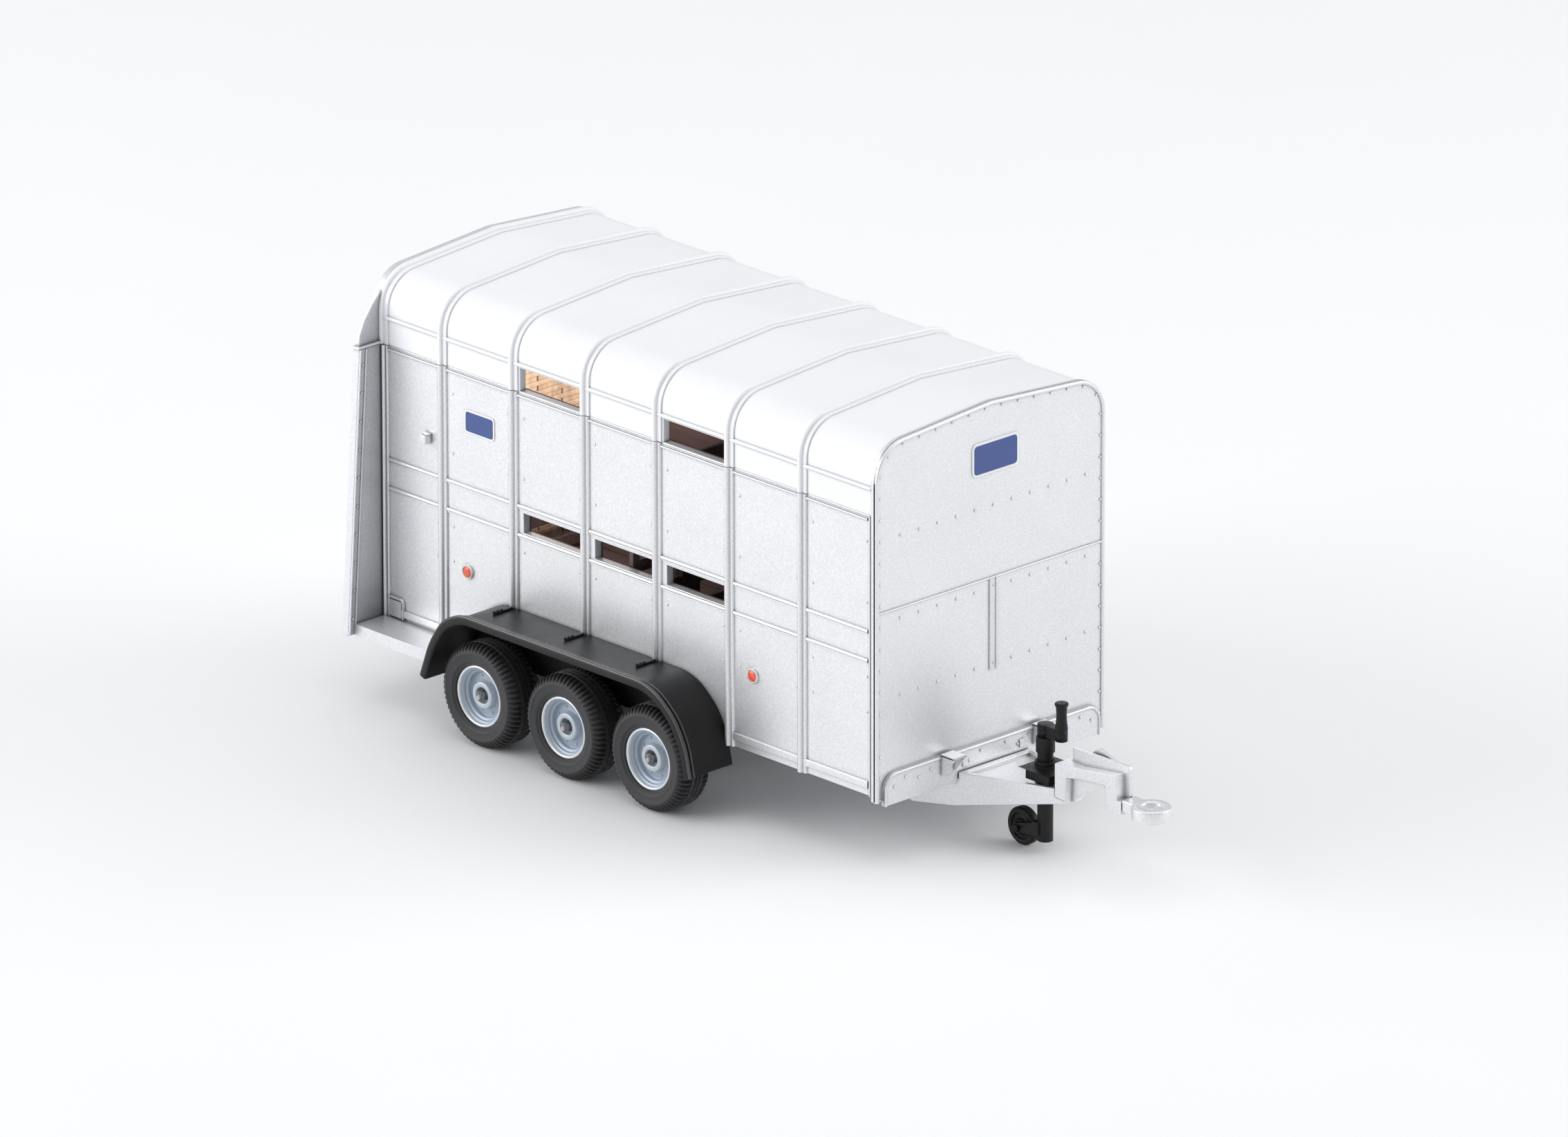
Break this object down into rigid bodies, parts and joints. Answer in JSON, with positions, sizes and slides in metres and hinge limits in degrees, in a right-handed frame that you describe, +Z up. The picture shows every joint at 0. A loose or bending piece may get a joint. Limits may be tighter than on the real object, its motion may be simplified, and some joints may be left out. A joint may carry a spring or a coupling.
{
  "type": "livestock trailer",
  "caption": "Scale model of a three-axle livestock trailer with a ribbed box body, opening rear ramp, inner gates, mudguards, jockey wheel and ring coupling.",
  "frame": {"origin": "on the ground under the middle of the overall box", "axes": "+X forward to the coupling eye, +Y to the left side, +Z up"},
  "size_m": [0.1798, 0.0794, 0.083],
  "materials": {
    "silver_body": "satin metallic paint",
    "roof_white": "satin",
    "tyre_rubber": "matt",
    "rim_plastic": "satin",
    "black_plastic": "matt",
    "steel": "satin",
    "brown_board": "matt",
    "tan_board": "satin",
    "marker_red": "gloss",
    "badge_blue": "satin"
  },
  "bodies": {
    "trailer": {"front_panel": "silver_body", "side_left": "silver_body", "side_right": "silver_body", "roof": "roof_white", "roof_hoops": "roof_white", "rear_portal": "silver_body", "front_flange": "silver_body", "front_badge": "badge_blue", "side_badges": "badge_blue", "deck": "silver_body", "deck_boards": "brown_board", "chassis": "silver_body", "axle_bearings": "black_plastic", "drawbar": "silver_body", "coupling_eye": "silver_body", "sill_left": "silver_body", "sill_right": "silver_body", "guard_left": "black_plastic", "guard_right": "black_plastic", "ramp_pin": "steel", "gate_left_pin": "steel", "gate_right_pin": "steel", "partition_pin": "steel", "jockey_plate": "black_plastic", "markers_left": "marker_red", "markers_right": "marker_red", "catches": "silver_body", "rear_lamps": "marker_red", "screws": "steel"},
    "wheels_1": {"axle_1": "steel", "rims_1": "rim_plastic", "tyres_1": "tyre_rubber"},
    "wheels_2": {"axle_2": "steel", "rims_2": "rim_plastic", "tyres_2": "tyre_rubber"},
    "wheels_3": {"axle_3": "steel", "rims_3": "rim_plastic", "tyres_3": "tyre_rubber"},
    "ramp": {"ramp": "silver_body", "ramp_boards": "tan_board"},
    "gate_left": {"gate_left": "brown_board"},
    "gate_right": {"gate_right": "brown_board"},
    "partition": {"partition": "brown_board"},
    "jockey_post": {"jockey_post": "black_plastic"},
    "jockey_wheel": {"jockey_wheel": "black_plastic", "jockey_pin": "steel"},
    "crank": {"crank": "black_plastic", "crank_grip": "black_plastic"}
  },
  "joints": [
    {"name": "wheels_1_spin", "type": "hinge", "parent": "trailer", "child": "wheels_1", "pos_m": [-0.0053, 0, 0.01], "axis": [0, 1, 0], "continuous": true},
    {"name": "wheels_2_spin", "type": "hinge", "parent": "trailer", "child": "wheels_2", "pos_m": [-0.0278, 0, 0.01], "axis": [0, 1, 0], "continuous": true},
    {"name": "wheels_3_spin", "type": "hinge", "parent": "trailer", "child": "wheels_3", "pos_m": [-0.0503, 0, 0.01], "axis": [0, 1, 0], "continuous": true},
    {"name": "ramp_hinge", "type": "hinge", "parent": "trailer", "child": "ramp", "pos_m": [-0.089, 0, 0.0129], "axis": [0, -1, 0], "range_deg": [0, 103]},
    {"name": "gate_left_hinge", "type": "hinge", "parent": "trailer", "child": "gate_left", "pos_m": [-0.082, 0.02485, 0.018], "axis": [0, 0, 1], "range_deg": [0, 88]},
    {"name": "gate_right_hinge", "type": "hinge", "parent": "trailer", "child": "gate_right", "pos_m": [-0.082, -0.02485, 0.018], "axis": [0, 0, -1], "range_deg": [0, 88]},
    {"name": "partition_hinge", "type": "hinge", "parent": "trailer", "child": "partition", "pos_m": [-0.0218, 0.02485, 0.018], "axis": [0, 0, 1], "range_deg": [0, 88]},
    {"name": "jockey_slide", "type": "slide", "parent": "trailer", "child": "jockey_post", "axis": [0, 0, 1], "range_m": [0, 0.0045]},
    {"name": "jockey_wheel_spin", "type": "hinge", "parent": "jockey_post", "child": "jockey_wheel", "pos_m": [0.0536, 0, 0.0036], "axis": [0, 1, 0], "continuous": true},
    {"name": "crank_turn", "type": "hinge", "parent": "jockey_post", "child": "crank", "pos_m": [0.059, 0, 0.023], "axis": [0, 0, 1], "continuous": true}
  ]
}
